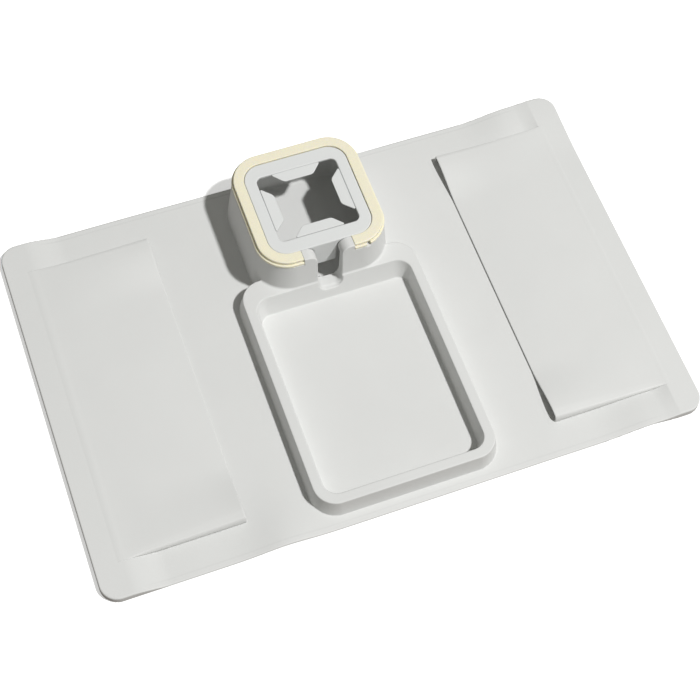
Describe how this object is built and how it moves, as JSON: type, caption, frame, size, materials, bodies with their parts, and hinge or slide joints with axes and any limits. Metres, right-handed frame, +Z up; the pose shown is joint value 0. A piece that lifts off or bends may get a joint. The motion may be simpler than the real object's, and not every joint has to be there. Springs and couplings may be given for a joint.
{
  "type": "sofa arm tray",
  "caption": "Soft weighted mat that drapes over a sofa arm, with a shallow tray, a square cup holder with a loose gripping insert, and a flat pocket in each wing.",
  "frame": {"origin": "middle of the mat's underside, with the mat laid out flat", "axes": "+X along the mat's long side over both wings, -Y towards the tray's front, +Y towards the cup holder, +Z up"},
  "size_m": [0.58, 0.372, 0.062],
  "materials": {
    "silicone": "soft matte, light warm grey",
    "trim": "satin cream",
    "insert": "soft matte, pale grey",
    "weight": "plain steel, sealed in"
  },
  "bodies": {
    "middle": {"centre_mat": "silicone", "tray_wall": "silicone", "cup_holder": "silicone", "trim_ring": "trim"},
    "left_side": {"left_wing": "silicone", "left_pocket_panel": "silicone", "left_weight_bar": "weight"},
    "right_side": {"right_wing": "silicone", "right_pocket_panel": "silicone", "right_weight_bar": "weight"},
    "insert": {"insert_frame": "insert"},
    "front_flap": {"front_flap": "insert"},
    "right_flap": {"right_flap": "insert"},
    "back_flap": {"back_flap": "insert"},
    "left_flap": {"left_flap": "insert"}
  },
  "joints": [
    {"name": "left_fold", "type": "hinge", "parent": "middle", "child": "left_side", "pos_m": [-0.12, 0, 0.001], "axis": [0, -1, 0], "range_deg": [-90, 90], "stiffness_Nm_per_rad": 0.02},
    {"name": "right_fold", "type": "hinge", "parent": "middle", "child": "right_side", "pos_m": [0.12, 0, 0.001], "axis": [0, 1, 0], "range_deg": [-90, 90], "stiffness_Nm_per_rad": 0.02},
    {"name": "insert_lift", "type": "slide", "parent": "middle", "child": "insert", "axis": [0, 0, 1], "range_m": [0, 0.06]},
    {"name": "front_flap_bend", "type": "hinge", "parent": "insert", "child": "front_flap", "pos_m": [0, 0.0793, 0.06], "axis": [-1, 0, 0], "range_deg": [-30, 70], "stiffness_Nm_per_rad": 0.013},
    {"name": "right_flap_bend", "type": "hinge", "parent": "insert", "child": "right_flap", "pos_m": [0.0387, 0.115, 0.06], "axis": [0, -1, 0], "range_deg": [-30, 70], "stiffness_Nm_per_rad": 0.013},
    {"name": "back_flap_bend", "type": "hinge", "parent": "insert", "child": "back_flap", "pos_m": [0, 0.1507, 0.06], "axis": [1, 0, 0], "range_deg": [-30, 70], "stiffness_Nm_per_rad": 0.013},
    {"name": "left_flap_bend", "type": "hinge", "parent": "insert", "child": "left_flap", "pos_m": [-0.0387, 0.115, 0.06], "axis": [0, 1, 0], "range_deg": [-30, 70], "stiffness_Nm_per_rad": 0.013}
  ]
}
